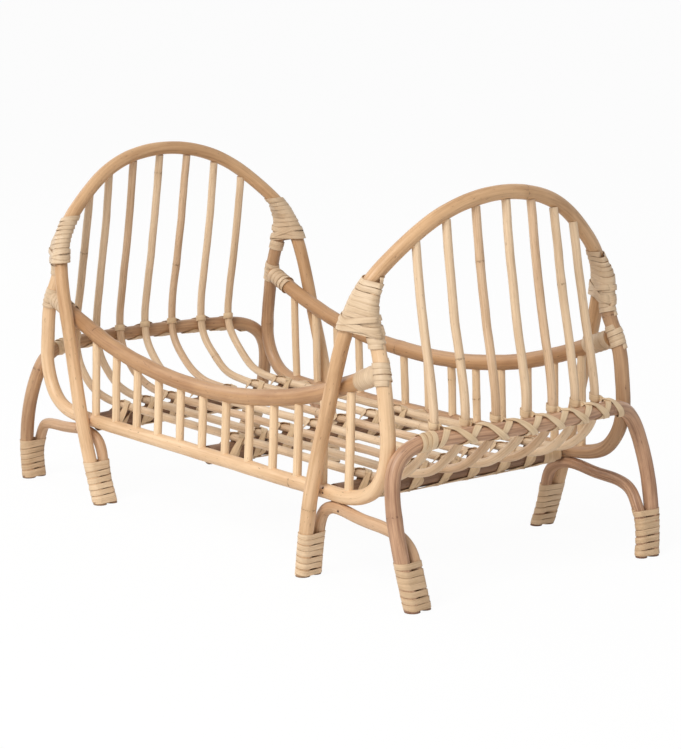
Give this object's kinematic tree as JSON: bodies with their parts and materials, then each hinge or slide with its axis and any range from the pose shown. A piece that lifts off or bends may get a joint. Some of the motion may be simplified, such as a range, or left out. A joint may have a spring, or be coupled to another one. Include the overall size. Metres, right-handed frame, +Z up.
{
  "type": "doll bed",
  "caption": "Doll bed of bent cane: arched ends of upright rods, sagging side rails over short spindles, a base of rods and pairs of bound feet.",
  "frame": {"origin": "on the floor under the middle of the bed", "axes": "+X along the bed towards its foot end, +Y across it, +Z up"},
  "size_m": [0.4928, 0.252, 0.2699],
  "materials": {
    "tan_cane": "satin",
    "pale_cane": "satin",
    "rose_cane": "satin",
    "brown_cane": "matte",
    "split_cane": "matte"
  },
  "bodies": {
    "root": {"bed_rod_1": "tan_cane", "bed_rod_2": "tan_cane", "bed_rod_3": "tan_cane", "bed_rod_4": "tan_cane", "bed_rod_5": "tan_cane", "bed_rod_6": "tan_cane", "bed_rod_7": "tan_cane", "far_side_loop": "tan_cane", "far_spindle_1": "pale_cane", "far_spindle_10": "pale_cane", "far_spindle_11": "pale_cane", "far_spindle_12": "pale_cane", "far_spindle_13": "pale_cane", "far_spindle_2": "pale_cane", "far_spindle_3": "pale_cane", "far_spindle_4": "pale_cane", "far_spindle_5": "pale_cane", "far_spindle_6": "pale_cane", "far_spindle_7": "pale_cane", "far_spindle_8": "pale_cane", "far_spindle_9": "pale_cane", "far_top_rail": "tan_cane", "foot_arch": "tan_cane", "foot_bow": "rose_cane", "foot_cross_bar": "brown_cane", "foot_far_corner_binding": "split_cane", "foot_far_inner_foot_binding": "split_cane", "foot_far_leg_stretcher": "rose_cane", "foot_far_outer_foot_binding": "split_cane", "foot_near_corner_binding": "split_cane", "foot_near_inner_foot_binding": "split_cane", "foot_near_leg_stretcher": "rose_cane", "foot_near_outer_foot_binding": "split_cane", "head_arch": "tan_cane", "head_bow": "rose_cane", "head_cross_bar": "brown_cane", "head_far_corner_binding": "split_cane", "head_far_inner_foot_binding": "split_cane", "head_far_leg_stretcher": "rose_cane", "head_far_outer_foot_binding": "split_cane", "head_near_corner_binding": "split_cane", "head_near_inner_foot_binding": "split_cane", "head_near_leg_stretcher": "rose_cane", "head_near_outer_foot_binding": "split_cane", "middle_cross_bar": "brown_cane", "near_side_loop": "tan_cane", "near_spindle_1": "pale_cane", "near_spindle_10": "pale_cane", "near_spindle_11": "pale_cane", "near_spindle_12": "pale_cane", "near_spindle_13": "pale_cane", "near_spindle_2": "pale_cane", "near_spindle_3": "pale_cane", "near_spindle_4": "pale_cane", "near_spindle_5": "pale_cane", "near_spindle_6": "pale_cane", "near_spindle_7": "pale_cane", "near_spindle_8": "pale_cane", "near_spindle_9": "pale_cane", "near_top_rail": "tan_cane"}
  },
  "joints": []
}
